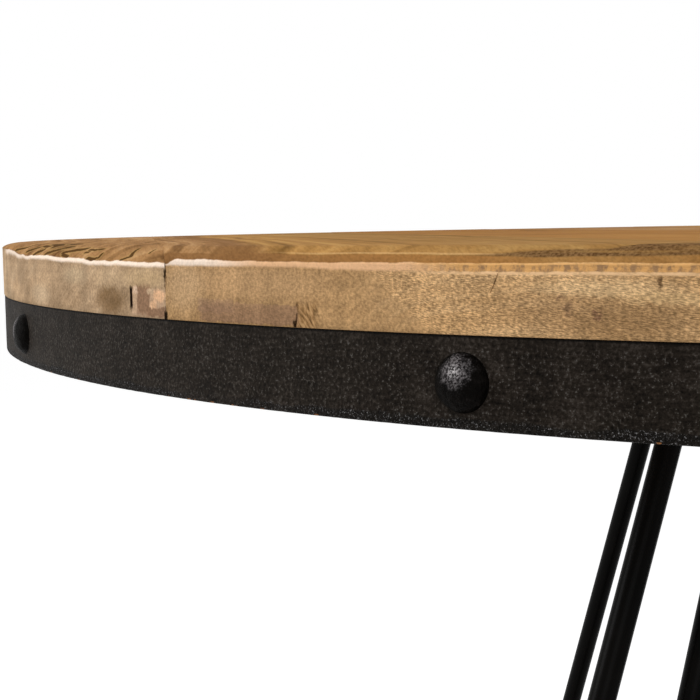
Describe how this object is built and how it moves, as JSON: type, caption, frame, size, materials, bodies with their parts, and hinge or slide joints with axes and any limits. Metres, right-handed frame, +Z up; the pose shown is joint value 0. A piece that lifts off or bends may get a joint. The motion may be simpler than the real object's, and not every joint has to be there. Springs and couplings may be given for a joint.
{
  "type": "round table",
  "caption": "Round plank-topped table with a riveted iron band round its rim, standing on splayed legs of bent round bar.",
  "frame": {"origin": "on the floor under the middle of the round top", "axes": "+Z up; the planks of the top run along Y"},
  "size_m": [1.1999, 1.1998, 0.76],
  "materials": {
    "plank_wood": "oiled hardwood, sawn and lightly sanded",
    "rim_wood": "sawn hardwood, unfinished underneath",
    "band_iron": "black, sandy texture",
    "rivet_iron": "black, pitted",
    "leg_steel": "satin black paint",
    "plate_steel": "satin black paint",
    "screw_steel": "zinc plated"
  },
  "bodies": {
    "root": {"plank_1": "plank_wood", "plank_2": "plank_wood", "plank_3": "plank_wood", "plank_4": "plank_wood", "plank_5": "plank_wood", "plank_6": "plank_wood", "plank_7": "plank_wood", "plank_8": "plank_wood", "rim_segment_1": "rim_wood", "rim_segment_2": "rim_wood", "rim_segment_3": "rim_wood", "rim_segment_4": "rim_wood", "rim_segment_5": "rim_wood", "rim_segment_6": "rim_wood", "rim_segment_7": "rim_wood", "rim_segment_8": "rim_wood", "batten_front": "rim_wood", "batten_middle": "rim_wood", "batten_back": "rim_wood", "iron_band": "band_iron", "band_rivets": "rivet_iron", "leg_1": "leg_steel", "leg_2": "leg_steel", "leg_3": "leg_steel", "leg_4": "leg_steel", "leg_plate_1": "plate_steel", "leg_plate_2": "plate_steel", "leg_plate_3": "plate_steel", "leg_plate_4": "plate_steel", "leg_welds": "plate_steel", "rim_screws": "screw_steel", "batten_screws": "screw_steel", "plate_screws": "screw_steel"}
  },
  "joints": []
}
